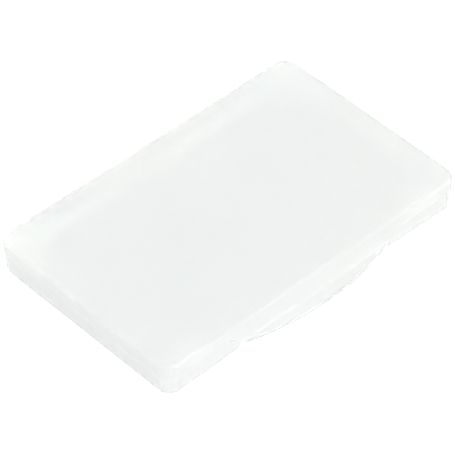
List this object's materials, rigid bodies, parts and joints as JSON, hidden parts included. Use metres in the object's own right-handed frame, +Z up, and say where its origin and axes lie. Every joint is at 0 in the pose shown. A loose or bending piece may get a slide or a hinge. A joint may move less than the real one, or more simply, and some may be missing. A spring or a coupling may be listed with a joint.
{
  "type": "business card case",
  "caption": "Shallow clamshell pocket case for business cards in milky translucent plastic, with a film-hinged lid, thumb flange and corner webs.",
  "frame": {"origin": "on the surface the case lies on, under the middle of the lid's rectangle", "axes": "+X along the long side, +Y from the thumb flange towards the hinge, +Z up out of the lid"},
  "size_m": [0.097, 0.0658, 0.0103],
  "materials": {
    "base_tray": "satin, natural polypropylene, milky translucent",
    "lid": "satin, natural polypropylene, milky translucent",
    "hinge_leaf_base": "satin, natural polypropylene film",
    "hinge_leaf_lid": "satin, natural polypropylene film"
  },
  "bodies": {
    "base": {"base_tray": "base_tray", "hinge_leaf_base": "hinge_leaf_base"},
    "lid": {"lid": "lid", "hinge_leaf_lid": "hinge_leaf_lid"}
  },
  "joints": [
    {"name": "lid_hinge", "type": "hinge", "parent": "base", "child": "lid", "pos_m": [0, 0.03175, 0.00615], "axis": [-1, 0, 0], "range_deg": [0, 180]}
  ]
}
